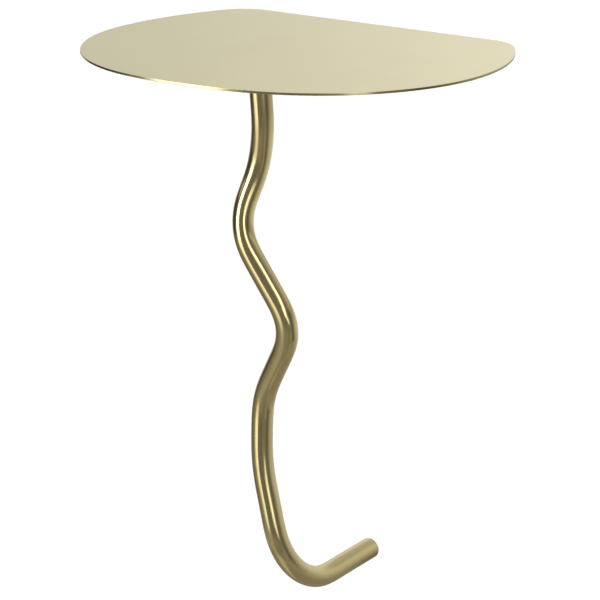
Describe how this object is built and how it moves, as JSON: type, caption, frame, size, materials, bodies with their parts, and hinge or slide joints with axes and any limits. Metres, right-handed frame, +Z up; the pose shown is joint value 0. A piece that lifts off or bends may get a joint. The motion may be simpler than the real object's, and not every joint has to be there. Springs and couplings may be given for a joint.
{
  "type": "wall console table",
  "caption": "Wall-hung console table: thin rounded brass top with a straight wall edge, on a wavy brass tube that bends back to the wall at its foot",
  "frame": {"origin": "On the wall plane, midway between the wall bracket's screw holes", "axes": "X runs along the wall, Y points into the wall, Z is up"},
  "size_m": [0.5, 0.396, 0.7015],
  "materials": {
    "satin_brass": "fine satin, clear lacquer",
    "polished_brass": "polished, clear lacquer",
    "turned_brass": "turned",
    "stud_brass": "rolled thread",
    "zinc_steel": "bright zinc plated",
    "bracket_steel": "folded sheet, zinc plated",
    "black_steel": "black oxide"
  },
  "bodies": {
    "root": {"tabletop": "satin_brass", "leg": "polished_brass", "leg_flange": "turned_brass", "flange_studs": "stud_brass", "flange_washers": "zinc_steel", "flange_nuts": "zinc_steel", "wall_bracket": "bracket_steel", "bracket_studs": "stud_brass", "bracket_washers": "zinc_steel", "bracket_nuts": "zinc_steel", "foot_boss": "turned_brass", "foot_set_screw": "black_steel"}
  },
  "joints": []
}
